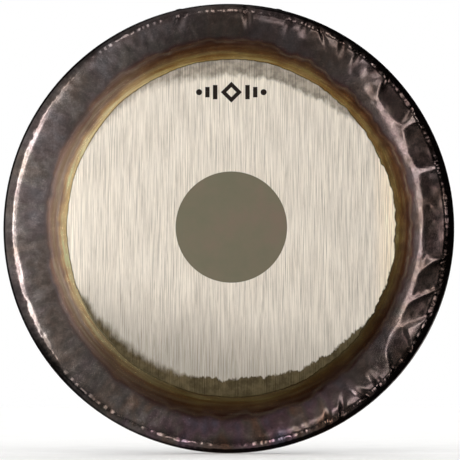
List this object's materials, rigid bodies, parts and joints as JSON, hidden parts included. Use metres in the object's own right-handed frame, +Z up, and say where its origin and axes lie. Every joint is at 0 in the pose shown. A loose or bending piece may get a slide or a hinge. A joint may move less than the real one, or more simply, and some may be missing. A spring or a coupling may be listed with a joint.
{
  "type": "tam-tam gong",
  "caption": "Flat-faced round gong of hammered metal with a rolled shoulder, a shallow turned-back rim and two rubber-lined hanging holes.",
  "frame": {"origin": "on the disc's axis, halfway between the crown of the struck face and the rim's cut edge", "axes": "Y is the disc's axis: the struck face looks along -Y and the open back along +Y; +Z is up as the gong hangs from its two holes; +X is to the right of a player facing the struck face"},
  "size_m": [0.8129, 0.052, 0.8128],
  "materials": {
    "nickel_silver": "hammered, heat-tinted dark at the rim, ground bright on the face",
    "grommet_rubber": "matt black rubber"
  },
  "bodies": {
    "root": {"gong_plate": "nickel_silver", "left_hole_grommet": "grommet_rubber", "right_hole_grommet": "grommet_rubber"}
  },
  "joints": []
}
